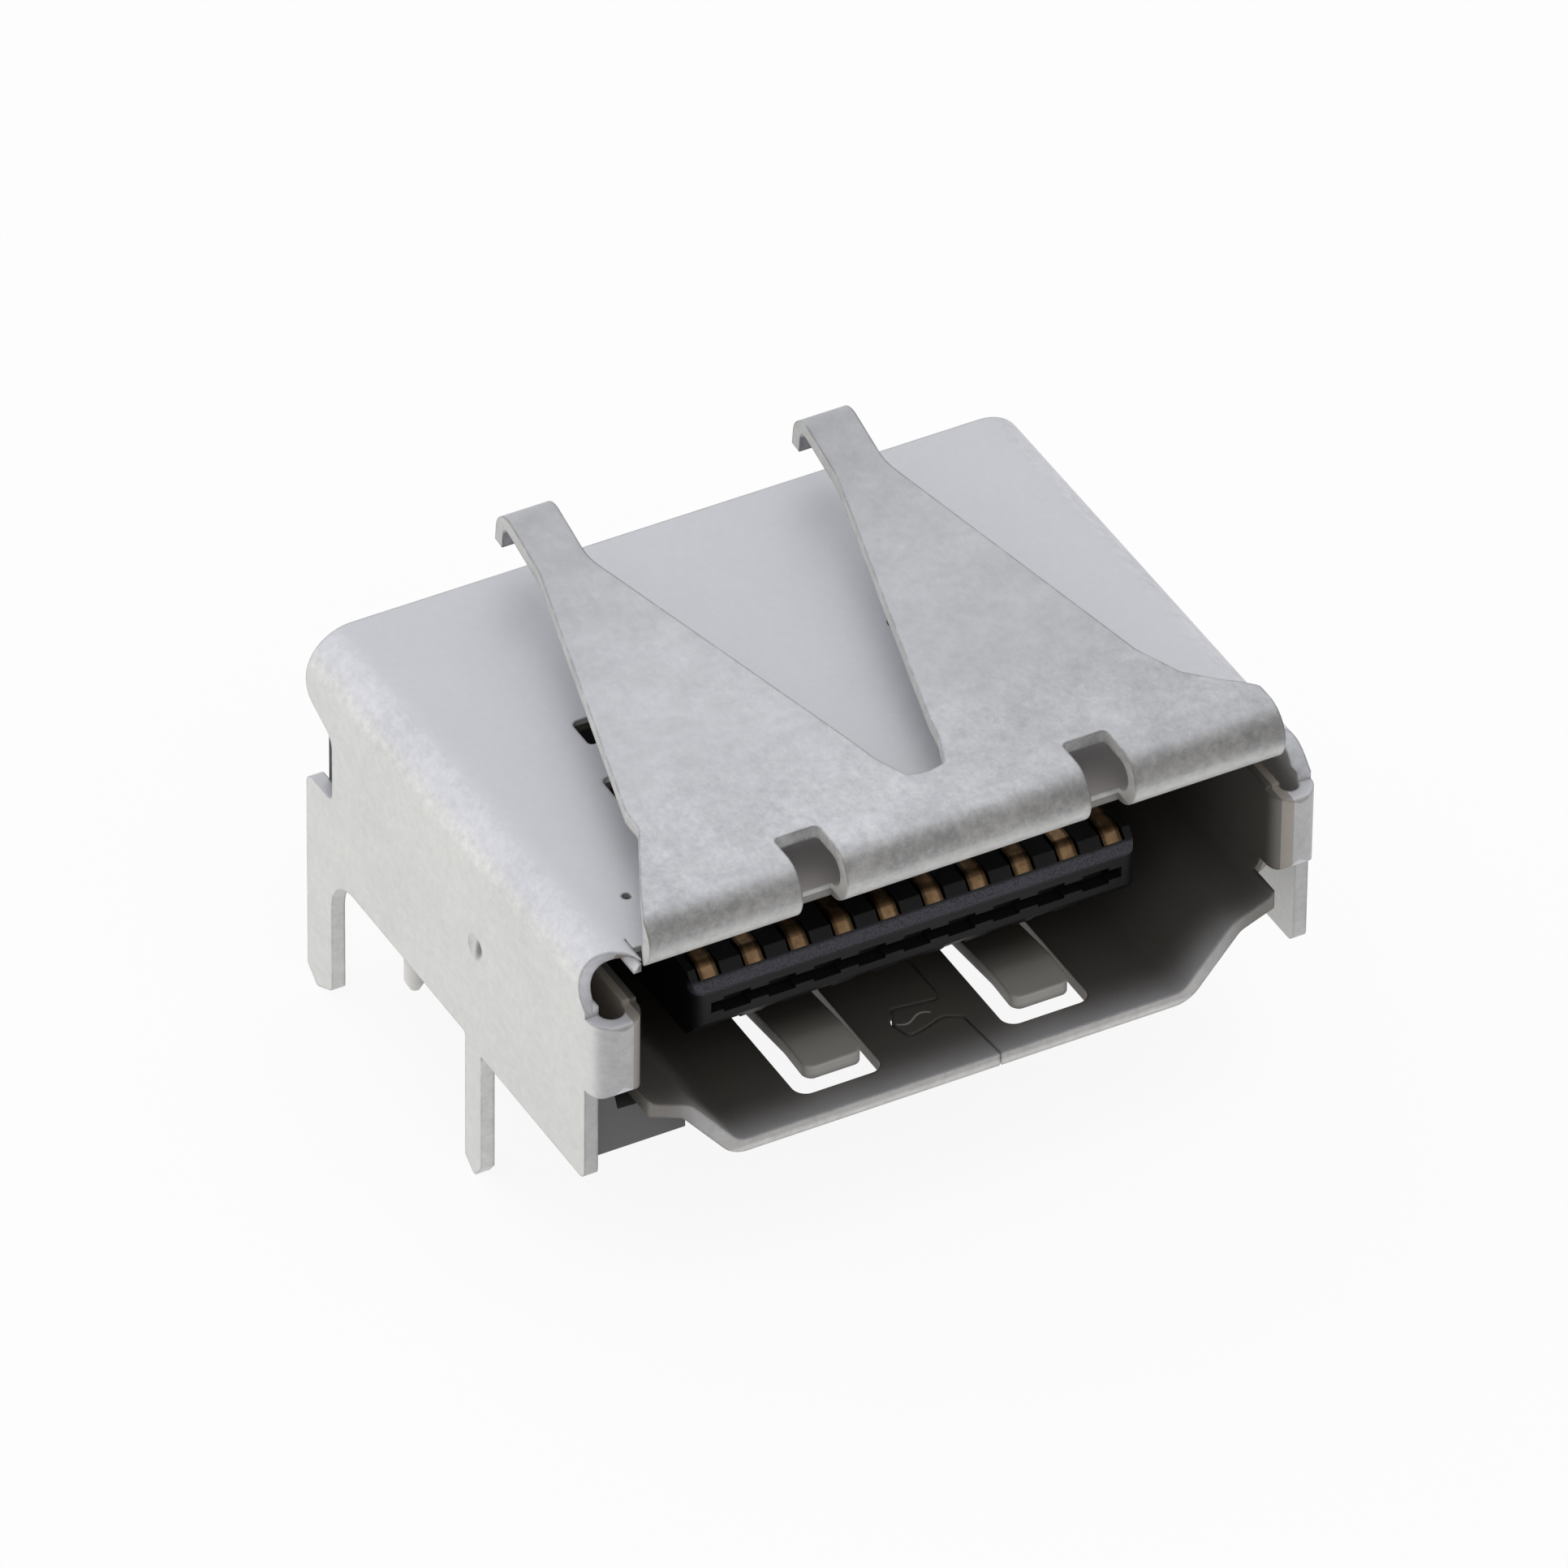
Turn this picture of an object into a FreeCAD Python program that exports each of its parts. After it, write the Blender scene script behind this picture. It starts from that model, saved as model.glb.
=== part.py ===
import FreeCAD, Part
import math
import os

V = FreeCAD.Vector

# Where the part sits: the origin is on the board, midway between the two locating posts.
# X runs to the right as one looks into the mouth, Y to the rear, Z up from the board.
# The sizes below count Y from the front edge of the side walls and Z from their bottom edge.
post_from_front = 8.70
front = -post_from_front
wall_stand = 0.20
board = -wall_stand

# Folded sheet shell
sheet = 0.30
half_width = 8.14
roof_top = 5.33
corner_radius = 1.00
right_set_in = 0.16
depth = 11.70
wall_mid = half_width - sheet / 2
roof_mid = roof_top - sheet / 2
roof_under = roof_top - sheet
wall_inside = half_width - sheet
right_mid = wall_mid - right_set_in
right_inside = wall_inside - right_set_in

# Legs and the side view of the walls
leg_tip = -3.20
leg_point_rear = 0.40
leg_chamfer_rise = 0.33
front_leg_start = 4.30
front_leg_end = 4.97
rear_leg_start = depth - 1.05
wall_lift = 0.16
arch_radius = 0.95
rear_notch_front = depth - 1.10
rear_notch_low = 1.96
rear_notch_high = 3.52
rear_notch_rise = 0.45
dimple_y = 4.54
dimple_z = 2.58
dimple_radius = 0.30
dimple_depth = 0.10

# Rolled front edge of the roof, and the panel folded back over it
roll_radius = 0.66
roll_mid = roll_radius - sheet / 2
roll_y = 0.08
tab_gap = 0.54
mouth_half = wall_inside - tab_gap - sheet
roll_end = mouth_half + 0.04
slit_width = 0.03
slit_depth = 0.40
pin_hole_radius = 0.10
pin_hole_y = 1.56
panel_mid = roof_mid + 2 * roll_mid
corner_reach = 0.30
relief_radius = 0.80
relief_y = -0.37
relief_angle = 38
slot_x = 3.19
slot_half = 0.49
slot_top_end = 0.67
slot_low_end = 0.12

# The two spring fingers of the panel
finger_x = 3.33
finger_inner = 0.84
finger_outer = 5.46
finger_outer_left = 5.79
finger_start = 2.60
neck_half = 0.54
neck_y = 9.95
neck_rise = 0.23
hook_y = 11.58
hook_rise = 0.72
hook_end_y = 11.66
hook_end_rise = -0.05

# Mouth: inner walls, hooked side tabs, and the folded floor
inner_mid = mouth_half + sheet / 2
inner_top = 4.12
inner_end = 7.60
tab_low = 2.25
tab_high = 4.03
floor_mid = board + sheet / 2
floor_top = board + sheet
floor_corner = mouth_half - 1.98
shoulder_x = mouth_half - 0.87
shoulder_rise = 1.335
side_slope = 0.404
lip_reach = 0.45
lip_free_end = mouth_half - 0.03
seam_width = 0.04

# Spring tongues cut in the floor and in the roof
floor_window_x = 2.32
floor_window_half = 0.96
floor_window_front = 0.20
floor_window_rear = 5.80
floor_spring_half = 0.64
floor_spring_tip = 0.50
floor_spring_rise = 0.41
roof_window_x = 3.50
roof_window_half = 1.10
roof_window_rear = 6.86
roof_window_notch = 6.05
roof_window_notch_half = 1.32
roof_window_wide_half = 1.64
roof_window_front = 3.50
roof_window_step = 5.00
roof_spring_half = 0.75

# Plastic housing
block_front = inner_end
block_rear = block_front + 2.60
cheek_inner = 5.40
cheek_rear = block_rear + 1.10
cheek_top = 4.60
cheek_corner = 1.00
block_corner = corner_radius - sheet + 0.15
tongue_half = 4.93
tongue_front = 1.44
tongue_low = 1.15
tongue_high = 2.72
tongue_nose_low = 1.57
tongue_nose_high = 2.30
tongue_nose_run = 0.36
nose_recess = 0.32
nose_lip = 0.17
nose_tooth = 0.07
nose_tooth_half = 0.20
post_x = wall_inside - 0.54
post_radius = 0.22
post_length = 1.50
foot_outer = wall_inside - 0.04
foot_inner = floor_corner + 0.68
foot_front = 0.40
foot_low = 0.15
foot_high = 1.12
foot_step = 0.72
foot_wall_high = 2.00

# Contacts
pitch = 1.00
top_count = 10
bottom_count = 9
contact_thick = 0.20
contact_half = 0.20
tail_half = 0.12
side_clear = 0.02
pocket_clear = 0.06
contact_widen_end = block_front + 0.80
top_mid = 2.67
bottom_mid = 1.20
tip_y = 1.72
tip_bend_y = 1.95
tip_drop = 0.22
tip_pocket = 1.64
tip_pocket_end = 2.25
tail_y = block_rear + 0.70
tail_foot_end = tail_y + 1.40
tail_foot_mid = board + contact_thick / 2

# Tail aligner
aligner_low = board + 0.37
aligner_high = 0.82
aligner_front = block_rear + 0.20
tenon_front = aligner_front + 0.20
tenon_rear = tenon_front + 0.50
tenon_length = 0.40


def to_plan(x, y, z):
    return V(x, front + y, z - board)


def in_xz(a, b, c):
    """A point of a front-view outline, c millimetres behind the front edge."""
    return to_plan(a, c, b)


def in_yz(a, b, c):
    """A point of a side-view outline at the width c."""
    return to_plan(c, a, b)


def in_xy(a, b, c):
    """A point of a plan outline at the height c."""
    return to_plan(a, b, c)


def heading(p, q):
    dx, dy = q[0] - p[0], q[1] - p[1]
    size = math.hypot(dx, dy)
    return dx / size, dy / size


def bend(before, at, after, radius, off):
    """Start, middle and end of one bend, shifted sideways by off."""
    ux, uy = heading(before, at)
    vx, vy = heading(at, after)
    turn = math.atan2(ux * vy - uy * vx, ux * vx + uy * vy)
    side = 1 if turn > 0 else -1
    run = radius * math.tan(abs(turn) / 2)
    cx = at[0] - ux * run - uy * side * radius
    cy = at[1] - uy * run + ux * side * radius
    mx, my = heading((cx, cy), at)
    r = radius - side * off
    start = (cx + uy * side * r, cy - ux * side * r)
    middle = (cx + mx * r, cy + my * r)
    end = (cx + vy * side * r, cy - vx * side * r)
    return start, middle, end


def run_edges(stops, view, level):
    """Straight runs and arcs joining a list of bends."""
    edges = []
    last = None
    for start, middle, end in stops:
        if last is not None and math.dist(last, start) > 1e-6:
            edges.append(Part.makeLine(view(*last, level), view(*start, level)))
        if middle is not None:
            arc = Part.Arc(view(*start, level), view(*middle, level), view(*end, level))
            edges.append(arc.toShape())
        last = end
    return edges


def side_stops(points, radii, off):
    """Bends of an open path, shifted sideways by off."""
    ux, uy = heading(points[0], points[1])
    vx, vy = heading(points[-2], points[-1])
    first = (points[0][0] - uy * off, points[0][1] + ux * off)
    final = (points[-1][0] - vy * off, points[-1][1] + vx * off)
    stops = [(first, None, first)]
    for i in range(1, len(points) - 1):
        stops.append(bend(points[i - 1], points[i], points[i + 1], radii[i - 1], off))
    stops.append((final, None, final))
    return stops


def strip(points, radii, thick, view, level):
    """Edge-on face of a bent sheet that follows a mid line."""
    left = side_stops(points, radii, thick / 2)
    right = side_stops(points, radii, -thick / 2)
    edges = run_edges(left, view, level) + run_edges(right, view, level)
    for a, b in ((left[0][0], right[0][0]), (left[-1][2], right[-1][2])):
        edges.append(Part.makeLine(view(*a, level), view(*b, level)))
    return Part.Face(Part.Wire(Part.__sortEdges__(edges)))


def outline(corners, view, level):
    """Face of a closed outline whose corners are (a, b) or (a, b, radius)."""
    stops = []
    count = len(corners)
    for i, corner in enumerate(corners):
        at = corner[:2]
        if len(corner) == 2:
            stops.append((at, None, at))
        else:
            before = corners[i - 1][:2]
            after = corners[(i + 1) % count][:2]
            stops.append(bend(before, at, after, corner[2], 0))
    stops.append((stops[0][0], None, stops[0][0]))
    return Part.Face(Part.Wire(run_edges(stops, view, level)))


def across(face, half):
    """Solid of a side-view face drawn at the width -half, as wide as 2 half."""
    return face.extrude(V(2 * half, 0, 0))


def block(x0, x1, y0, y1, z0, z1):
    return Part.makeBox(x1 - x0, y1 - y0, z1 - z0, to_plan(x0, y0, z0))


def both_sides(shape, set_in=0):
    """A shape drawn on the right, and its mirror image; the right one may stand further in."""
    right = shape.copy()
    right.translate(V(-set_in, 0, 0))
    return [right, shape.mirror(V(0, 0, 0), V(1, 0, 0))]


def joined(shapes):
    return shapes[0].fuse(shapes[1:]).removeSplitter()


# Shell: outer walls, roof and legs
def side_view():
    chamfer_z = leg_tip + leg_chamfer_rise
    corners = [
        (0, 0, 0.20),
        (front_leg_start, 0),
        (front_leg_start, chamfer_z + 0.02),
        (front_leg_end - leg_point_rear, leg_tip, 0.12),
        (front_leg_end, chamfer_z - 0.05),
        (front_leg_end, wall_lift, 0.10),
        (rear_leg_start, wall_lift, arch_radius),
        (rear_leg_start, chamfer_z, 0.10),
        (depth - leg_point_rear, leg_tip, 0.15),
        (depth, chamfer_z),
        (depth, rear_notch_low, 0.25),
        (rear_notch_front, rear_notch_low, 0.20),
        (rear_notch_front, rear_notch_high, 0.40),
        (depth, rear_notch_high + rear_notch_rise, 0.45),
        (depth, roof_top + 1),
        (-corner_reach, roof_top + 1),
        (-corner_reach, tab_high + 0.4),
        (0, tab_high + 0.4),
    ]
    return across(outline(corners, in_yz, -half_width - 1), half_width + 1)


def roof_slit():
    """Slit that frees the rolled edge from the corner of the shell, and a punched hole near it."""
    low = roof_under - 0.1
    cut = block(roll_end, roll_end + slit_width, -1, slit_depth, low, roof_top + 0.1)
    hole = Part.makeCylinder(pin_hole_radius, sheet + 0.2, to_plan(roll_end - 0.64, pin_hole_y, low))
    return [cut, hole]


def corner_relief():
    """Round hole punched through the bend, above the side tab."""
    angle = math.radians(relief_angle)
    reach = corner_radius + 0.7
    away = V(math.cos(angle), 0, math.sin(angle))
    start = to_plan(half_width - corner_radius, relief_y, roof_top - corner_radius) + away * 0.5
    hole = Part.makeCylinder(relief_radius, reach, start, away)
    return hole.common(block(0, half_width + 1, -2, 2, tab_high, roof_top + 1))


def outer_shell():
    low = leg_tip - 0.1
    path = [(-wall_mid, low), (-wall_mid, roof_mid), (right_mid, roof_mid), (right_mid, low)]
    bends = [corner_radius - sheet / 2] * 2
    profile = strip(path, bends, sheet, in_xz, -corner_reach)
    body = profile.extrude(V(0, depth + corner_reach, 0)).common(side_view())
    cuts = [block(-roll_end, roll_end, -1, roll_y, roof_under - 0.1, roof_top + 0.1)]
    for cut in roof_slit():
        cuts += both_sides(cut)
    cuts += both_sides(corner_relief(), right_set_in)
    ball = (dimple_radius ** 2 + dimple_depth ** 2) / (2 * dimple_depth)
    centre = to_plan(half_width + ball - dimple_depth, dimple_y, dimple_z)
    cuts += both_sides(Part.makeSphere(ball, centre), right_set_in)
    return body.cut(cuts)


# Shell: rolled edge, panel and fingers
def roll_profile():
    roll_front = roll_y - roll_mid
    path = [
        (1.0, roof_mid),
        (roll_front, roof_mid),
        (roll_front, panel_mid),
        (finger_start, panel_mid),
        (neck_y, panel_mid + neck_rise),
        (hook_y, panel_mid + hook_rise),
        (hook_end_y, panel_mid + hook_end_rise),
    ]
    return across(strip(path, [roll_mid, roll_mid, 3.0, 3.0, 0.34], sheet, in_yz, -half_width), half_width)


def panel_plan():
    inner = finger_x - neck_half
    outer = finger_x + neck_half
    right = [
        (0, 1.12, 0.5),
        (0.42, 1.22, 0.15),
        (0.72, 2.0, 0.4),
        (finger_inner, finger_start, 0.5),
        (inner, neck_y, 1.5),
        (inner, 13),
        (outer, 13),
        (outer, neck_y, 1.5),
        (finger_outer, finger_start, 0.4),
        (roll_end - 1.15, 1.57, 0.3),
        (roll_end - 0.62, 1.04, 0.3),
        (roll_end - 0.27, 0.76, 0.2),
        (roll_end, 0.48, 0.15),
        (roll_end, -1),
    ]
    left = [
        (-roll_end, -1),
        (-roll_end, -0.30, 0.2),
        (-roll_end + 0.28, 0.32, 0.3),
        (-finger_outer_left - 0.01, finger_start - 0.38, 0.3),
        (-finger_outer_left, finger_start + 0.16, 0.3),
    ]
    left += [(-c[0],) + c[1:] for c in right[7:0:-1]]
    return outline(right + left, in_xy, roof_under - 1).extrude(V(0, 0, 4))


def roll_and_fingers():
    body = roll_profile().common(panel_plan())
    middle = (roof_mid + panel_mid) / 2
    cuts = []
    for x in (-slot_x, slot_x):
        lower = block(x - slot_half, x + slot_half, -1, slot_low_end, roof_under - 0.1, middle + 0.01)
        corners = [(x - slot_half, -1), (x + slot_half, -1), (x + slot_half, slot_top_end, 0.12),
                   (x - slot_half, slot_top_end, 0.12)]
        upper = outline(corners, in_xy, middle).extrude(V(0, 0, 1))
        cuts += [lower, upper]
    return body.cut(cuts)


# Shell: hooked side tabs, inner walls and floor
def side_tab(wall):
    """Right side tab: the wall turned round a half circle into the inner wall."""
    radius = (wall - inner_mid) / 2
    path = [(wall, 0.5), (wall, -radius), (inner_mid, -radius), (inner_mid, 0.5)]
    hook = strip(path, [radius] * 2, sheet, in_xy, tab_low).extrude(V(0, 0, tab_high - tab_low))
    nose = -radius - sheet / 2
    corners = [(nose, tab_low, 0.28), (1, tab_low), (1, tab_high), (nose, tab_high, 0.12)]
    trim = outline(corners, in_yz, inner_mid - 1).extrude(V(3, 0, 0))
    return hook.common(trim)


def side_tabs():
    return [side_tab(right_mid), both_sides(side_tab(wall_mid))[1]]


def floor_half_path():
    """Mid line of the right half of the mouth, from the top of the inner wall to the middle of the floor."""
    shoulder_z = floor_mid + shoulder_rise
    elbow_z = shoulder_z + side_slope * (inner_mid - shoulder_x)
    return [(inner_mid, inner_top), (inner_mid, elbow_z), (shoulder_x, shoulder_z), (floor_corner, floor_mid)]


def trough():
    half = floor_half_path()
    path = half + [(-x, z) for x, z in reversed(half)]
    bends = [0.50, 0.55, 0.55]
    profile = strip(path, bends + bends[::-1], sheet, in_xz, -lip_reach)
    body = profile.extrude(V(0, inner_end + lip_reach, 0))
    edge = [(-1, 0.8), (0.66, 0.8), (0.62, 1.35), (0.15, tab_low + 0.1),
            (0.05, tab_low + 0.1), (0.05, 5), (-1, 5)]
    notch = outline(edge, in_yz, lip_free_end).extrude(V(0.6, 0, 0))
    return body.cut(both_sides(notch))


def floor_seam():
    """Butt joint of the two floor leaves with its locking head."""
    path = [(0.90, -1), (0.76, 0.90), (0.42, 1.10), (-0.10, 0.92), (-0.46, 0.84),
            (-0.62, 1.30), (-0.40, 1.75), (0.60, 1.62), (0.66, 1.90), (0.66, inner_end + 0.5)]
    radii = [0.10, 0.25, 0.4, 0.12, 0.25, 0.10, 0.10, 0.10]
    return strip(path, radii, seam_width, in_xy, floor_top - 1.2).extrude(V(0, 0, 1.4))


def floor_windows():
    cuts = []
    for x in (-floor_window_x, floor_window_x):
        corners = [(x - floor_window_half, floor_window_front, 0.30),
                   (x + floor_window_half, floor_window_front, 0.30),
                   (x + floor_window_half, floor_window_rear, 0.15),
                   (x - floor_window_half, floor_window_rear, 0.15)]
        cuts.append(outline(corners, in_xy, floor_top - 1.2).extrude(V(0, 0, 1.4)))
    return cuts


def floor_springs():
    path = [(floor_window_rear + 0.3, floor_mid), (floor_window_rear - 0.2, floor_mid),
            (floor_spring_tip + 0.9, floor_mid + floor_spring_rise),
            (floor_spring_tip, floor_mid + floor_spring_rise - 0.05)]
    springs = []
    for x in (-floor_window_x, floor_window_x):
        left, right = x - floor_spring_half, x + floor_spring_half
        bar = strip(path, [2.0, 1.0], sheet, in_yz, left).extrude(V(2 * floor_spring_half, 0, 0))
        tip = floor_spring_tip + 0.005
        corners = [(left, tip, 0.22), (right, tip, 0.22), (right, 7), (left, 7)]
        springs.append(bar.common(outline(corners, in_xy, -1).extrude(V(0, 0, 3))))
    return springs


# Shell: windows and spring tongues of the roof
def roof_windows():
    cuts = []
    for x in (-roof_window_x, roof_window_x):
        corners = [(x - roof_window_wide_half, roof_window_front, 0.15),
                   (x + roof_window_wide_half, roof_window_front, 0.15),
                   (x + roof_window_wide_half, roof_window_step, 0.15),
                   (x + roof_window_half, roof_window_step, 0.15),
                   (x + roof_window_half, roof_window_notch, 0.05),
                   (x + roof_window_notch_half, roof_window_notch, 0.10),
                   (x + roof_window_notch_half, roof_window_rear, 0.15),
                   (x - roof_window_notch_half, roof_window_rear, 0.15),
                   (x - roof_window_notch_half, roof_window_notch, 0.10),
                   (x - roof_window_half, roof_window_notch, 0.05),
                   (x - roof_window_half, roof_window_step, 0.15),
                   (x - roof_window_wide_half, roof_window_step, 0.15)]
        cuts.append(outline(corners, in_xy, roof_under - 0.2).extrude(V(0, 0, sheet + 0.4)))
    return cuts


def roof_springs():
    path = [(roof_window_rear + 0.3, roof_mid), (roof_window_rear - 0.2, roof_mid),
            (4.70, roof_mid - 0.45), (4.05, roof_mid - 0.12)]
    springs = []
    for x in (-roof_window_x, roof_window_x):
        face = strip(path, [1.5, 0.45], sheet, in_yz, x - roof_spring_half)
        springs.append(face.extrude(V(2 * roof_spring_half, 0, 0)))
    return springs


def make_shell():
    body = outer_shell()
    body = joined([body, roll_and_fingers(), trough()] + side_tabs())
    body = body.cut(floor_windows() + [floor_seam()] + roof_windows())
    return joined([body] + floor_springs() + roof_springs())


# Housing
def tongue():
    nose_end = tongue_front + tongue_nose_run
    side = [(tongue_front, tongue_nose_low), (tongue_front, tongue_nose_high), (nose_end, tongue_high),
            (block_front + 0.5, tongue_high), (block_front + 0.5, tongue_low), (nose_end, tongue_low)]
    body = across(outline(side, in_yz, -tongue_half), tongue_half)
    plan = [(-tongue_half, tongue_front, 0.25), (tongue_half, tongue_front, 0.25),
            (tongue_half, block_rear), (-tongue_half, block_rear)]
    return body.common(outline(plan, in_xy, 0).extrude(V(0, 0, roof_top))).cut(nose_recesses())


def nose_recesses():
    """Hollow across the front of the tongue, which leaves a toothed lip above and below."""
    back = tongue_front + nose_recess
    high = tongue_nose_high - nose_lip
    low = tongue_nose_low + nose_lip
    end = tongue_half - 0.35
    cuts = [block(-end, end, 0, back, low + nose_tooth, high - nose_tooth)]
    edges = [-end]
    for i in range(top_count):
        x = (i - (top_count - 1) / 2) * pitch
        edges += [x - nose_tooth_half, x + nose_tooth_half]
    edges.append(end)
    for left, right in zip(edges[::2], edges[1::2]):
        if right - left > 0.05:
            cuts.append(block(left, right, 0, back, low, high))
    return cuts


def housing_block():
    corners = [(-wall_inside, board), (right_inside, board), (right_inside, roof_under, block_corner),
               (-wall_inside, roof_under, block_corner)]
    body = outline(corners, in_xz, block_front).extrude(V(0, block_rear - block_front, 0))
    groove = block(cheek_inner, cheek_inner + tenon_length, tenon_front, tenon_rear, board, aligner_high)
    corners = [(cheek_inner, board), (wall_inside, board),
               (wall_inside, cheek_top, cheek_corner), (cheek_inner, cheek_top)]
    cheek = outline(corners, in_xz, block_rear - 0.1).extrude(V(0, cheek_rear - block_rear + 0.1, 0))
    beyond = block(right_inside, wall_inside + 1, 0, depth, board, roof_top)
    right, left = both_sides(cheek.cut(groove))
    return [body, right.cut(beyond), left]


def posts():
    straight = post_length - post_radius
    made = []
    for x in (-post_x, post_x):
        stem = Part.makeCylinder(post_radius, straight + 0.5, V(x, 0, -straight))
        tip = Part.makeCone(post_radius * 0.5, post_radius, post_radius, V(x, 0, -post_length))
        made += [stem, tip]
    return made


def foot():
    """Rib of the housing that fills the space between the left wall and the sloped floor."""
    corners = [(-foot_outer, foot_low), (-foot_inner, foot_low), (-foot_inner, foot_high - foot_step),
               (-foot_inner - 0.60, foot_high), (-mouth_half - 0.20, foot_high + 0.03),
               (-mouth_half - sheet - 0.06, foot_wall_high), (-foot_outer, foot_wall_high)]
    return outline(corners, in_xz, foot_front).extrude(V(0, block_front - foot_front + 0.5, 0))


def contact_rows():
    """Names, positions across the mouth and heights of all contacts."""
    rows = []
    for i in range(top_count):
        rows.append(("contact_top_%02d" % (i + 1), (i - (top_count - 1) / 2) * pitch, True))
    for i in range(bottom_count):
        rows.append(("contact_bottom_%02d" % (i + 1), (i - (bottom_count - 1) / 2) * pitch, False))
    return rows


def contact_slots(x, upper):
    """Groove on the tongue, tip pocket, and the two widths of slot through the block."""
    wide = contact_half + side_clear
    loose = contact_half + pocket_clear
    narrow = tail_half + side_clear
    if upper:
        seat = top_mid - contact_thick / 2
        open_end = tongue_high + 1
        roof = seat + contact_thick + side_clear
        pocket = block(x - loose, x + loose, tip_pocket, tip_pocket_end, seat - 0.30, open_end)
    else:
        seat = bottom_mid + contact_thick / 2
        open_end = tongue_low - 1
        roof = seat - contact_thick - side_clear
        pocket = block(x - loose, x + loose, tip_pocket, tip_pocket_end, open_end, seat + 0.30)
    low, high = min(seat, open_end), max(seat, open_end)
    groove = block(x - wide, x + wide, tip_pocket_end - 0.1, block_front, low, high)
    low, high = min(seat, roof), max(seat, roof)
    entry = block(x - wide, x + wide, block_front - 0.1, contact_widen_end + side_clear, low, high)
    passage = block(x - narrow, x + narrow, contact_widen_end, block_rear + 0.1, low, high)
    return [pocket, groove, entry, passage]


def make_housing():
    body = joined(housing_block() + [tongue(), foot()] + posts())
    cuts = []
    for _, x, upper in contact_rows():
        cuts += contact_slots(x, upper)
    return body.cut(cuts)


# Contacts
def make_contact(x, upper):
    level = top_mid if upper else bottom_mid
    drop = tip_drop if upper else -tip_drop
    turn = contact_widen_end
    head_path = [(tip_y, level - drop), (tip_bend_y, level), (turn, level)]
    head = strip(head_path, [0.22], contact_thick, in_yz, x - contact_half)
    tail_path = [(turn - 0.2, level), (tail_y, level), (tail_y, tail_foot_mid), (tail_foot_end, tail_foot_mid)]
    tail = strip(tail_path, [0.30, 0.25], contact_thick, in_yz, x - tail_half)
    solids = [head.extrude(V(2 * contact_half, 0, 0)), tail.extrude(V(2 * tail_half, 0, 0))]
    return joined(solids)


# Tail aligner
def make_aligner():
    body = block(-cheek_inner, cheek_inner, aligner_front, cheek_rear, aligner_low, aligner_high)
    tenons = [
        block(side * cheek_inner - tenon_length / 2 + side * tenon_length / 2,
              side * cheek_inner + tenon_length / 2 + side * tenon_length / 2,
              tenon_front, tenon_rear, aligner_low, aligner_high)
        for side in (-1, 1)
    ]
    body = joined([body] + tenons)
    half = tail_half + side_clear
    near = tail_y - contact_thick / 2 - side_clear
    far = tail_y + contact_thick / 2
    slots = [block(x - half, x + half, near, far, board, 2) for _, x, _ in contact_rows()]
    return body.cut(slots)


def save(name, shape):
    if len(shape.Solids) != 1 or not shape.isValid():
        raise ValueError("%s: %d solids, valid %s" % (name, len(shape.Solids), shape.isValid()))
    shape.Solids[0].exportStep("parts/%s.step" % name)


os.makedirs("parts", exist_ok=True)
save("shell", make_shell())
save("housing", make_housing())
save("tail_aligner", make_aligner())
for contact_name, contact_x, is_top in contact_rows():
    save(contact_name, make_contact(contact_x, is_top))
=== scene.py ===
import math

import bpy
from mathutils import Matrix, Vector


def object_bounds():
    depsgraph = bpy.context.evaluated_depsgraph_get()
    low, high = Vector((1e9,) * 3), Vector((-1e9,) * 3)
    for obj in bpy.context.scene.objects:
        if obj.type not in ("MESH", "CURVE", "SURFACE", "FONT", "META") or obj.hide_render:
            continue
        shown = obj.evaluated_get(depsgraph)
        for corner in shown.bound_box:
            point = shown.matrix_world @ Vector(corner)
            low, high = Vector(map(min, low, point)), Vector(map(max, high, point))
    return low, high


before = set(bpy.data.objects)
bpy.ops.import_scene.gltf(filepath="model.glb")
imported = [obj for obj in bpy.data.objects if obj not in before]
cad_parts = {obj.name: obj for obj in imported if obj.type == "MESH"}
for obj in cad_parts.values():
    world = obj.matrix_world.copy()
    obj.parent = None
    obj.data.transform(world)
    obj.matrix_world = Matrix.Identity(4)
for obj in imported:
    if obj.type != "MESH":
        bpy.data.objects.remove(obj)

cad_low, cad_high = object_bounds()


# The housing: one black moulding of glass-filled plastic, a block with the contact tongue in front,
# two locating posts below and a foot beside the shell's floor. It slides into the shell from the
# rear, and the tail aligner, a comb of the same plastic, is pushed over the tails behind it.
mm = 0.001


class Signal:
    """A socket's value in a finish, so that shader maths reads as ordinary sums."""

    def __init__(self, finish, socket):
        self.finish = finish
        self.socket = socket

    def combined(self, sign, first, second):
        return self.finish.node("ShaderNodeMath", {"operation": sign}, {0: first, 1: second})

    def __add__(self, other):
        return self.combined("ADD", self, other)

    def __radd__(self, other):
        return self.combined("ADD", other, self)

    def __sub__(self, other):
        return self.combined("SUBTRACT", self, other)

    def __rsub__(self, other):
        return self.combined("SUBTRACT", other, self)

    def __mul__(self, other):
        return self.combined("MULTIPLY", self, other)

    def __rmul__(self, other):
        return self.combined("MULTIPLY", other, self)

    def __pow__(self, other):
        return self.combined("POWER", self, other)

    def __gt__(self, other):
        return self.combined("GREATER_THAN", self, other)

    def __lt__(self, other):
        return self.combined("LESS_THAN", self, other)


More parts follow.
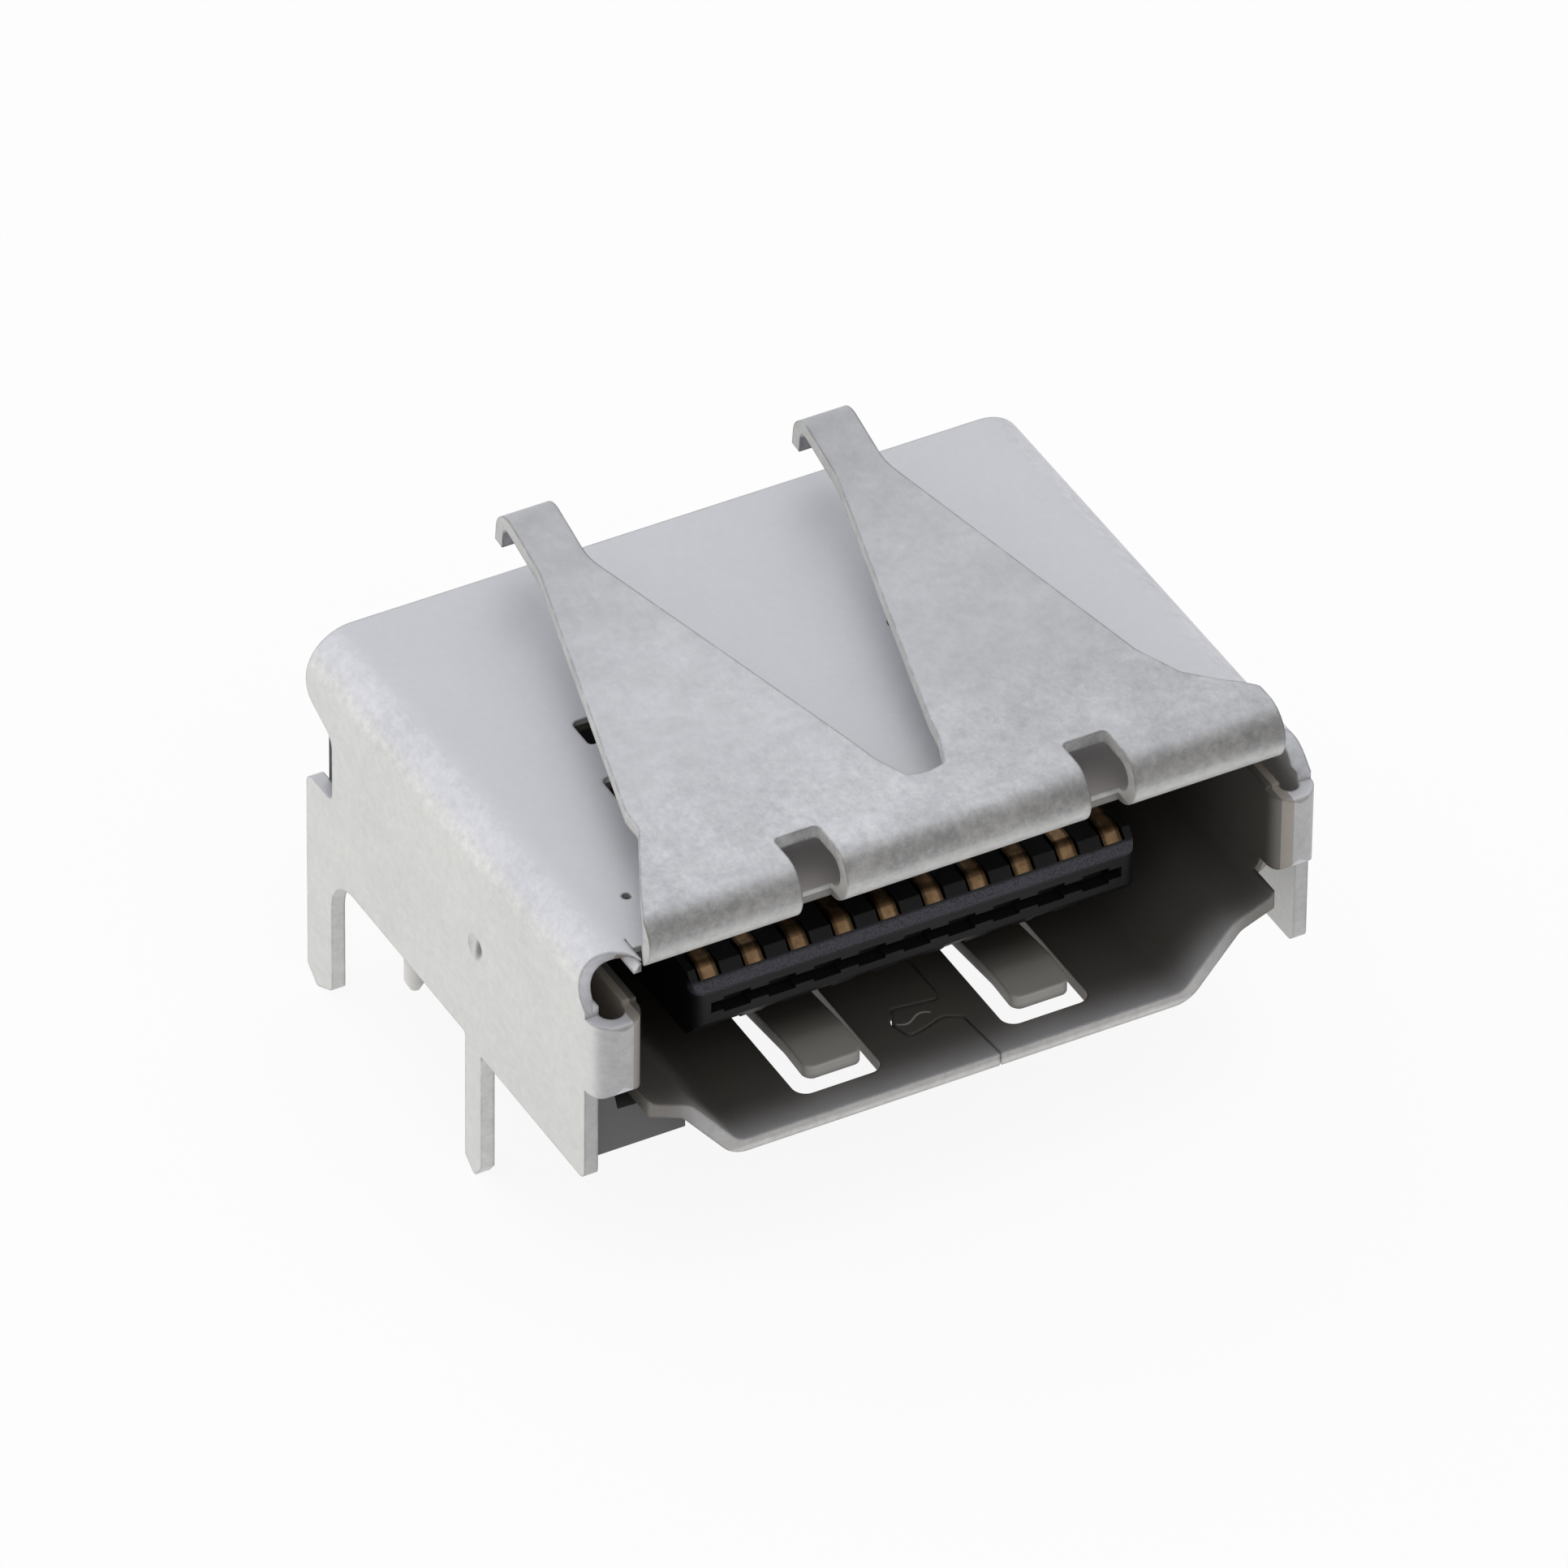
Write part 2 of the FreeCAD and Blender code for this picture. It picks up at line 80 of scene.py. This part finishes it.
class Finish:
    """One material, or the world, and the nodes that make it."""

    def __init__(self, name, holder=None):
        self.material = holder or bpy.data.materials.new(name)
        self.material.use_nodes = True
        self.tree = self.material.node_tree
        self.tree.nodes.clear()

    def node(self, kind, settings, inputs, out=0):
        """A node with its settings made first, then the value or the link of each socket."""
        made = self.tree.nodes.new(kind)
        for name, value in settings.items():
            setattr(made, name, value)
        for name, value in inputs.items():
            if isinstance(value, Signal):
                self.tree.links.new(value.socket, made.inputs[name])
            else:
                made.inputs[name].default_value = value
        return Signal(self, made.outputs[out])

    def coordinate(self, name):
        return self.node("ShaderNodeTexCoord", {}, {}, out=name)

    def part(self, vector, axis):
        return self.node("ShaderNodeSeparateXYZ", {}, {0: vector}, out=axis)

    def millimetres(self, stretch=(1, 1, 1)):
        """Object coordinates in millimetres, stretched along the axes."""
        scale = tuple(share / mm for share in stretch)
        return self.node("ShaderNodeMapping", {},
                         {"Vector": self.coordinate("Object"), "Scale": scale})

    def place(self):
        """Across to the right, along to the rear and up from the board, in millimetres."""
        where = self.millimetres()
        return [self.part(where, axis) for axis in range(3)]

    def facing(self):
        """How far the surface faces to the right, to the rear and up, each from -1 to 1."""
        normal = self.coordinate("Normal")
        return [self.part(normal, axis) for axis in range(3)]

    def noise(self, scale, detail, rough, stretch=(1, 1, 1)):
        return self.node("ShaderNodeTexNoise", {},
                         {"Vector": self.millimetres(stretch), "Scale": scale,
                          "Detail": detail, "Roughness": rough})

    def sine(self, value):
        return self.node("ShaderNodeMath", {"operation": "SINE"}, {0: value})

    def clamped(self, value):
        return self.node("ShaderNodeClamp", {}, {"Value": value})

    def ramp(self, value, low, high):
        """Smooth step of a value from 0 at low to 1 at high."""
        return self.node("ShaderNodeMapRange", {"interpolation_type": "SMOOTHSTEP"},
                         {"Value": value, "From Min": low, "From Max": high})

    def blend(self, kind, factor, first, second):
        """Mix node on two colours: sockets 6 and 7 hold them, and output 2 is their mix."""
        return self.node("ShaderNodeMix",
                         {"data_type": "RGBA", "blend_type": kind, "clamp_factor": True},
                         {0: factor, 6: first, 7: second}, out=2)

    def mixed(self, factor, first, second):
        return self.blend("MIX", factor, first, second)

    def tinted(self, colour, tint):
        return self.blend("MULTIPLY", 1.0, colour, tint)

    def close(self, shader, kind="ShaderNodeOutputMaterial"):
        """Join the shader to the output node, and give the material."""
        end = self.tree.nodes.new(kind)
        self.tree.links.new(shader.socket, end.inputs["Surface"])
        return self.material


def dressed(name, finish):
    """Give a CAD piece its one finish. Its shape and place stay as they are."""
    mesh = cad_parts[name].data
    mesh.materials.clear()
    mesh.materials.append(finish)


# Places on the housing in millimetres. A pair is where a finish starts and where it is complete.
tongue_side = 5.2
tongue_rear = -1.0
foot_rear = -2.0
nose_rear = -6.92
nose_highlight_bottom = (2.48, 2.54)
nose_highlight_top = (2.66, 2.74)
post_top = -0.02
post_tip_pales = (-0.2, -0.9)

housing_black = (0.034, 0.034, 0.036, 1)
aligner_black = (0.024, 0.024, 0.026, 1)
# Painted light and shade on the one black plastic: the tongue's black is shade, the foot's grey is
# light and the nose line is a highlight.
tongue_shade_black = (0.0075, 0.0075, 0.0085, 1)
nose_highlight_blue = (0.085, 0.085, 0.108, 1)
foot_lit_grey = (0.125, 0.125, 0.126, 1)
post_tip_white = (0.82, 0.81, 0.78, 1)
lighter_cloud = 1.3


def housing_painted_light_and_posts(plastic, colour, fine):
    """Painted: shade on the tongue, a highlight on its nose, light on the foot. Pale post ends."""
    across, along, height = plastic.place()
    tongue = (across > -tongue_side) * (across < tongue_side) * (along < tongue_rear)
    foot = (along < foot_rear) * (1 - tongue)
    # Painted light: the foot is the same black plastic, painted grey where it stands lit.
    colour = plastic.mixed(foot, colour, foot_lit_grey)
    # Painted shade: the tongue, deep in the mouth, is far darker than the rest of the moulding.
    colour = plastic.mixed(tongue, colour, tongue_shade_black)
    # Painted highlight: a blue-grey line along the top of the tongue's nose, where its chamfer
    # catches the light.
    nose_highlight = tongue * (along < nose_rear) * plastic.ramp(height, *nose_highlight_bottom)
    nose_highlight = nose_highlight * (1 - plastic.ramp(height, *nose_highlight_top))
    colour = plastic.mixed(nose_highlight * plastic.ramp(fine, 0.2, 0.6), colour, nose_highlight_blue)
    # The post ends turn pale towards their tips.
    post = (height < post_top) * (along > tongue_rear)
    return plastic.mixed(post * plastic.ramp(height, *post_tip_pales), colour, post_tip_white)


def moulded_plastic(name, tone, painted_extras=None):
    """Matt moulded skin, slightly clouded; the last argument adds painted light and shade to one
    piece alone.
    """
    plastic = Finish(name)
    cloud = plastic.noise(1.2, 4.0, 0.6)
    fine = plastic.noise(30.0, 3.0, 0.6)
    lighter = tuple(lighter_cloud * share for share in tone[:3]) + (1,)
    colour = plastic.mixed(plastic.ramp(cloud, 0.35, 0.7), tone, lighter)
    if painted_extras:
        colour = painted_extras(plastic, colour, fine)
    bumped = plastic.node("ShaderNodeBump", {},
                          {"Strength": 0.25, "Distance": 0.005 * mm, "Height": fine})
    return plastic.close(plastic.node("ShaderNodeBsdfPrincipled", {}, {
        "Base Color": colour, "Roughness": 0.50 + 0.12 * cloud,
        "Specular IOR Level": 0.35, "Normal": bumped}))


dressed("housing", moulded_plastic("housing_plastic", housing_black, housing_painted_light_and_posts))
dressed("tail_aligner", moulded_plastic("tail_aligner_plastic", aligner_black))


# The contacts: ten above and nine below the tongue, stamped from copper alloy and plated with gold.
# They are pressed into the grooves of the tongue from the rear.
row_step = 0.5  # The rows stand half a pitch apart, so a crown comes every half millimetre.
gold_dark = (0.38, 0.235, 0.125, 1)
gold_light = (0.62, 0.395, 0.215, 1)
# Painted shade on the contacts' sides, down between the tongue's ribs.
rim_shade_dark = (0.03, 0.018, 0.010, 1)
rim_shade_strength = 0.75


def gold_plate():
    """Mottled gold. On the tongue, painted shade darkens each contact's sides; its crown stays light.
    """
    gold = Finish("gold_plate")
    mottle = gold.noise(4.0, 4.0, 0.6)
    fine = gold.noise(24.0, 3.0, 0.5, (3.0, 0.5, 1.0))
    colour = gold.mixed(gold.ramp(mottle, 0.35, 0.65), gold_dark, gold_light)
    across, along = gold.place()[:2]
    # Painted shade: each contact is darker on its sides, between the ribs, and light on its crown.
    from_crown = gold.sine(across * (math.pi / row_step)) ** 2
    rim_shade = gold.ramp(from_crown, 0.30, 0.75) * (along < tongue_rear)
    colour = gold.mixed(rim_shade_strength * rim_shade, colour, rim_shade_dark)
    bumped = gold.node("ShaderNodeBump", {},
                       {"Strength": 0.15, "Distance": 0.003 * mm, "Height": fine})
    return gold.close(gold.node("ShaderNodeBsdfPrincipled", {}, {
        "Base Color": colour, "Metallic": 1.0, "Roughness": 0.28 + 0.12 * mottle,
        "Normal": bumped}))


contact_finish = gold_plate()
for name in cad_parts:
    if name.startswith("contact"):
        dressed(name, contact_finish)


# The shell: one blank of tin-plated steel sheet 0.3 mm thick, punched and folded round the housing.
# The plating is satin and slightly clouded. Painted shade darkens the inside of the mouth, the cut
# edges, the roof under the roll and the fronts and underside of the roll; painted light brightens the
# walls, the bends and the panel's underside.

# Places on the shell in millimetres, with pairs as above: the panel that is folded back over the
# roof, the bends, the roll, the side tabs and the edges near the board.
panel_starts = (5.75, 6.05)
panel_behind_roll = (-7.6, -4.4)
panel_dull_right = (-2.0, 3.5)
panel_dull_front = (-5.5, 0.5)
fingers_dull = (-3.0, 1.2)
hooks_dull = (1.6, 2.8)
bend_low = 3.5
bend_high = 5.6
roof_low = 5.0
roof_high = 5.7
roof_leaves_roll = (-7.5, -6.9)
roof_shade_half = 4.47
roll_front = -8.6
roll_low = 4.5
tab_side = 7.057
tab_top_unshaded = (4.20, 4.45)
floor_edge_ends = (0.60, 0.80)
burnished_below = (0.13, 0.23)
board_face = -0.02
edge_line = 0.085

# Besides the tin's own two tones, these colours paint light and shade: light on the walls, the bends
# and the panel's underside, shade on the roof under the roll, the fronts, the roll's underside and
# the cut edges.
tin_dark = (0.50, 0.507, 0.542, 1)
tin_light = (0.74, 0.745, 0.78, 1)
panel_dark = (0.03, 0.03, 0.03, 1)
underside_bounce_bright = (0.90, 0.90, 0.91, 1)
edge_shade_dark = (0.13, 0.125, 0.12, 1)
bend_highlight_tint = (1.05, 1.045, 1.05, 1)
roof_shade_tint = (0.69, 0.64, 0.59, 1)
wall_light_tint = (1.16, 1.145, 1.06, 1)
front_shade_tint = (0.60, 0.585, 0.545, 1)
roll_underside_shade_tint = (0.95, 0.94, 0.88, 1)
burnished_tint = (1.12, 1.105, 1.03, 1)
rough_tint = (0.80, 0.785, 0.74, 1)

# Inside the mouth: how far the painted shade reaches, and the spring tongues in the floor, whose tops
# are painted lighter. Here and below, a name that ends in squared holds squares of a distance.
mouth_half = 7.35
mouth_low = -0.05
mouth_high = 5.40
mouth_roof = 5.20
mouth_darkens = (-9.45, -7.95)
corner_squared = (30, 44)
corner_lead = 0.6
depth_darkens = (-8.0, -4.5)
inner_wall = 7.14
spring_rises = (0.28, 0.50)
spring_high = 0.9
spring_fades = (-7.9, -6.4)
spring_side = 3.0
inside_shade_strength = 0.94

inside_shade_front = (0.122, 0.116, 0.104, 1)
inside_shade_deep = (0.068, 0.063, 0.052, 1)
inner_wall_shade = (0.36, 0.32, 0.28, 1)
spring_top_light = (0.56, 0.55, 0.52, 1)
inside_shade_tint = (0.56, 0.50, 0.46, 1)

# Two marks: a painted highlight in the shape of a slack S on the floor behind the notch, along the
# seam, with its middle given across and along and its waves in radians a millimetre, and painted
# shade in the bottom of the small dimple in each wall, with its middle given along and up.
glint_middle = (-0.135, -7.40)
glint_ends = (-0.52, 0.26)
glint_swing = 0.09
glint_waves = 7.6
glint_squared = (0.0002, 0.0013)
glint_below = 0.5
glint_bright = (0.62, 0.61, 0.59, 1)
dimple_middle = (-4.18, 2.72)
dimple_squared = 0.07
dimple_stretch = 1.5
dimple_shade_dark = (0.15, 0.145, 0.135, 1)
mark_strength = 0.85


class TinPlate(Finish):
    """Satin tin plate, what folding and punching have left on it, and painted light and shade."""

    def __init__(self, name):
        super().__init__(name)
        self.across, self.along, self.height = self.place()
        self.sideways, rearward, self.upward = self.facing()
        self.clouds = self.noise(0.55, 4.0, 0.6)
        self.mottle = self.noise(4.5, 5.0, 0.62)
        self.speckle = self.noise(9.0, 4.0, 0.7, (1.0, 0.55, 1.0))
        self.grain = self.noise(24.0, 3.0, 0.6)

        # The panel and the bends are roughened by the folding, the roof stays smooth.
        self.panel = self.ramp(self.height, *panel_starts)
        curved = self.ramp((self.sideways * self.upward) ** 2, 0.015, 0.14)
        self.bends = curved * (self.height > bend_low) * (self.height < bend_high)
        self.walls = self.ramp(self.sideways ** 2, 0.45, 0.95)
        self.front = self.ramp(0 - rearward, 0.30, 0.85)

        # A normal that rolls over each sheared edge.
        self.rounded = self.node("ShaderNodeBevel", {"samples": 4}, {"Radius": edge_line * mm})

    def clouded(self):
        """Grey clouds, mottle and grain round their mean, stronger where the sheet was worked."""
        near_roll = 1 - self.ramp(self.along, *panel_behind_roll)
        strength = 0.30 + self.panel * (0.55 + 0.95 * near_roll)
        strength = strength + 0.9 * self.bends + 0.4 * self.walls + 1.1 * self.front
        shares = (0.6, 0.9, 0.55, 0.3)
        uneven = (shares[0] * self.clouds + shares[1] * self.mottle
                  + shares[2] * self.speckle + shares[3] * self.grain)
        colour = self.mixed(0.5 + strength * (uneven - sum(shares) / 2), tin_dark, tin_light)
        # Painted highlight: the bends are lighter, where the lamp from behind on the left glances off
        # them.
        return self.mixed(self.bends, colour, self.tinted(colour, bend_highlight_tint))

    def darkened_panel(self, colour):
        """The panel is dulled, most on its right and up the fingers to their hooks."""
        right = self.ramp(self.across, *panel_dull_right)
        dulled = 0.055 + right * (0.13 - 0.09 * self.ramp(self.along, *panel_dull_front))
        dulled = dulled + 0.12 * self.ramp(self.along, *fingers_dull)
        dulled = dulled + 0.05 * self.ramp(self.along, *hooks_dull)
        dulled = dulled + 0.30 * (self.noise(0.9, 3.0, 0.6) - 0.5)
        return self.mixed(self.panel * dulled, colour, panel_dark)

    def roof_shade_and_bright_underside(self, colour):
        """Painted shade greys the roof under the roll; the panel's underside is painted bright for
        bounce light.
        """
        near = 1 - self.ramp(self.along, *roof_leaves_roll)
        roof = (self.height > roof_low) * (self.height < roof_high)
        middle = self.across ** 2 < roof_shade_half ** 2
        # Painted shade: the roof darkens where it passes under the roll.
        shaded_under_roll = near * roof * middle * self.ramp(self.upward, 0.3, 0.8)
        colour = self.mixed(shaded_under_roll, colour, self.tinted(colour, roof_shade_tint))
        # Painted light: the panel's underside is bright so that it throws more light onto the roof
        # beside the fingers.
        return self.mixed(self.panel * (self.upward < -0.3), colour, underside_bounce_bright)

    def lit_walls_and_shaded_fronts(self, colour):
        """Painted light on the walls; painted shade on the front faces and on the roll's underside.
        """
        # Painted light: the walls are lighter and warmer, as lit by the lamps.
        colour = self.mixed(self.walls, colour, self.tinted(colour, wall_light_tint))
        # Painted shade: faces that look to the front, on the roll and on the tabs below their tops,
        # are darker and warmer.
        tab = self.across ** 2 > tab_side ** 2
        front_shade_reach = 1 - self.ramp(self.height, *tab_top_unshaded) * tab
        above_floor = self.ramp(self.height, *floor_edge_ends)
        shaded_band = self.front * self.ramp(self.upward, -0.40, 0.25) * front_shade_reach * above_floor
        colour = self.mixed(shaded_band, colour, self.tinted(colour, front_shade_tint))
        # Painted shade: the roll's underside is darker and warmer, as it faces the dark front.
        downward = self.ramp(0 - self.upward, -0.10, 0.20)
        shaded_under_roll = downward * (self.along < roll_front) * (self.height > roll_low)
        return self.mixed(shaded_under_roll, colour, self.tinted(colour, roll_underside_shade_tint))

    def punched(self, colour):
        """Near the board each punched edge has a rough dark half above a burnished one."""
        rough = self.ramp(self.height + 0.10 * self.clouds, *burnished_below)
        rough = rough * (self.height > board_face)
        sheared = self.mixed(rough, self.tinted(colour, burnished_tint),
                             self.tinted(colour, rough_tint))
        near_board = self.front * (1 - self.ramp(self.height, *floor_edge_ends))
        colour = self.mixed(near_board, colour, sheared)

        # Painted shade: a dark line along every cut edge, where the edge rounds away from the light.
        flat = self.node("ShaderNodeNewGeometry", {}, {}, out="Normal")
        agreed = self.node("ShaderNodeVectorMath", {"operation": "DOT_PRODUCT"},
                           {0: self.rounded, 1: flat}, out="Value")
        edge = self.ramp(1 - agreed, 0.02, 0.20)
        edge_shade = edge * self.ramp(self.noise(3.0, 3.0, 0.6), 0.25, 0.60)
        return self.mixed((0.30 + 0.42 * self.panel) * edge_shade, colour, edge_shade_dark)

    def shaded_inside(self, colour):
        """Painted shade inside the mouth, darker with depth, lighter on the inner walls and spring
        tops.
        """
        corner = self.ramp(self.across ** 2, *corner_squared)
        inward = self.ramp(self.along + corner_lead * corner, *mouth_darkens)
        within = (self.across > -mouth_half) * (self.across < mouth_half)
        within = within * (self.height > mouth_low) * (self.height < mouth_high)
        roof_top = (self.height > mouth_roof) * self.ramp(self.upward, 0.10, 0.60)
        inside = within * (1 - roof_top) * inward

        springs = self.ramp(self.height, *spring_rises) * (self.height < spring_high)
        springs = springs * (1 - self.ramp(self.along, *spring_fades))
        springs = springs * (self.across > -spring_side) * (self.across < spring_side)
        # Painted shade: darker with depth, lighter on the inner walls and lightest on the spring
        # tongues' tops, which stand in the light.
        inside_shade = self.mixed(self.ramp(self.along, *depth_darkens), inside_shade_front, inside_shade_deep)
        inside_shade = self.mixed(self.across ** 2 > inner_wall ** 2, inside_shade, inner_wall_shade)
        inside_shade = self.mixed(springs, inside_shade, spring_top_light)
        colour = self.mixed(inside, colour, self.tinted(colour, inside_shade_tint))
        return self.mixed(inside_shade_strength * inside, colour, inside_shade)

    def marked(self, colour):
        """The painted highlight follows a sine along its length, and the dimple's painted shade is an
        ellipse.
        """
        wave = self.sine((self.across - glint_middle[0]) * glint_waves)
        off_line = (self.along - glint_middle[1] - glint_swing * wave) ** 2
        glint = (1 - self.ramp(off_line, *glint_squared)) * (self.height < glint_below)
        glint = glint * (self.across > glint_ends[0]) * (self.across < glint_ends[1])
        # Painted highlight: a bright S along the floor's seam, where its edge catches the light.
        colour = self.mixed(mark_strength * glint * (self.upward > 0.5), colour, glint_bright)

        # Painted shade: the bottom of the dimple is darker, as the light falls across the hollow.
        from_middle = ((self.along - dimple_middle[0]) * dimple_stretch) ** 2
        from_middle = from_middle + (self.height - dimple_middle[1]) ** 2
        dimple_shade = 1 - self.ramp(from_middle, 0.0, dimple_squared)
        return self.mixed(mark_strength * dimple_shade, colour, dimple_shade_dark)

    def surface(self, colour):
        """Satin half-metal with a fine relief, which is coarser on the panel and the bends."""
        relief = 0.5 * self.grain + 0.8 * self.mottle + 0.5 * self.speckle
        relief = relief * (1 + 0.9 * self.bends + 0.8 * self.panel)
        bumped = self.node("ShaderNodeBump", {}, {
            "Strength": 0.40, "Distance": 0.006 * mm, "Height": relief, "Normal": self.rounded})
        rough = 0.44 + 0.16 * self.mottle + 0.05 * self.clouds + 0.06 * self.bends
        return self.node("ShaderNodeBsdfPrincipled", {}, {
            "Base Color": colour, "Metallic": 0.55, "Roughness": rough, "Normal": bumped})


plate = TinPlate("tin_plated_steel")
plate_colour = plate.clouded()
for step in (plate.darkened_panel, plate.roof_shade_and_bright_underside, plate.lit_walls_and_shaded_fronts, plate.punched, plate.shaded_inside,
             plate.marked):
    plate_colour = step(plate_colour)
dressed("shell", plate.close(plate.surface(plate_colour)))


# The stage: the legs stand on white paper in a white room. Two broad soft boxes, one from behind on
# the left and one from above, leave a soft shadow in front.
paper_grey = (0.94, 0.94, 0.94, 1)
white = (1, 1, 1, 1)
paper_glow = 0.90
paper_reach = 3.0


def seen_by(finish, *rays):
    """Which kind of ray meets the surface, as a 0 or 1 for each kind."""
    return [finish.node("ShaderNodeLightPath", {}, {}, out="Is %s Ray" % ray) for ray in rays]


def white_paper():
    """Paper that stays white where it is seen straight or in a reflection, with its shadow kept."""
    paper = Finish("white_table")
    straight, shone, passed = seen_by(paper, "Camera", "Glossy", "Transmission")
    direct = paper.clamped(straight + shone + passed)
    matt = paper.node("ShaderNodeBsdfDiffuse", {}, {"Color": paper_grey})
    glow = paper.node("ShaderNodeEmission", {}, {"Color": white, "Strength": 1.0})
    return paper.close(paper.node("ShaderNodeMixShader", {},
                                  {0: direct * paper_glow, 1: matt, 2: glow}))


table_mesh = bpy.data.meshes.new("table")
corners = [(-paper_reach, -paper_reach), (paper_reach, -paper_reach),
           (paper_reach, paper_reach), (-paper_reach, paper_reach)]
table_mesh.from_pydata([(x, y, cad_low[2]) for x, y in corners], [], [(0, 1, 2, 3)])
table = bpy.data.objects.new("table", table_mesh)
bpy.context.scene.collection.objects.link(table)
table_mesh.materials.append(white_paper())

# The room is white to the eye, and dimmer towards the front where the metal mirrors it.
room_middle = 0.74
room_rise = 0.44
room_fill = 0.80

world = bpy.data.worlds.new("studio")
bpy.context.scene.world = world
walls = Finish("studio_walls", world)
straight, shone, passed = seen_by(walls, "Camera", "Glossy", "Transmission")
toward_rear = walls.part(walls.coordinate("Generated"), 1)
mirrored = walls.clamped(room_middle + room_rise * toward_rear)
shown = walls.clamped(straight + passed) + shone * (1 - straight) * mirrored
level = room_fill * (1 - walls.clamped(straight + shone + passed)) + shown
walls.close(walls.node("ShaderNodeBackground", {}, {"Color": white, "Strength": level}),
            "ShaderNodeOutputWorld")

wall_front = -8.7 * mm
aim_behind_front = 5 * mm
aim_height = 2.7 * mm
aimed_at = Vector((0, wall_front + aim_behind_front, aim_height))
lamp_distance = 0.40


def soft_box(name, azimuth, elevation, width, power):
    """Square lamp aimed at the socket from a direction given in degrees."""
    lamp = bpy.data.lights.new(name, "AREA")
    lamp.shape = "SQUARE"
    lamp.size = width
    lamp.energy = power
    holder = bpy.data.objects.new(name, lamp)
    bpy.context.scene.collection.objects.link(holder)
    turn, rise = math.radians(azimuth), math.radians(elevation)
    away = Vector((math.sin(turn) * math.cos(rise), -math.cos(turn) * math.cos(rise),
                   math.sin(rise)))
    holder.location = aimed_at + lamp_distance * away
    holder.rotation_euler = away.to_track_quat("Z", "Y").to_euler()


soft_box("left_back", -140, 28, 0.28, 0.19)
soft_box("above", 20, 80, 0.25, 0.10)


# The view: the socket is seen from the front left and from well above, through a long lens about
# 0.4 m away. The camera's place comes from the straight edges of the shell.
view_azimuth = math.radians(28.87)
view_elevation = math.radians(38.35)
view_roll = math.radians(0.66)
view_distance = 405 * mm
view_left = 0.9227 * mm
view_up = 0.6354 * mm
film_width = 36
focal_length = 472.7

right = Vector((math.cos(view_azimuth), -math.sin(view_azimuth), 0))
ahead = Vector((math.sin(view_azimuth) * math.cos(view_elevation),
                math.cos(view_azimuth) * math.cos(view_elevation), -math.sin(view_elevation)))
upward = right.cross(ahead)
stand = aimed_at - view_distance * ahead - view_left * right + view_up * upward
turned_right = math.cos(view_roll) * right + math.sin(view_roll) * upward
turned_up = math.cos(view_roll) * upward - math.sin(view_roll) * right

lens = bpy.data.cameras.new("camera")
lens.sensor_width = film_width
lens.lens = focal_length
lens.clip_start = 0.01
lens.clip_end = 20
camera = bpy.data.objects.new("camera", lens)
bpy.context.scene.collection.objects.link(camera)
camera.matrix_world = Matrix((
    (turned_right.x, turned_up.x, -ahead.x, stand.x),
    (turned_right.y, turned_up.y, -ahead.y, stand.y),
    (turned_right.z, turned_up.z, -ahead.z, stand.z),
    (0, 0, 0, 1)))
bpy.context.scene.camera = camera
bpy.context.scene.view_settings.view_transform = "Standard"
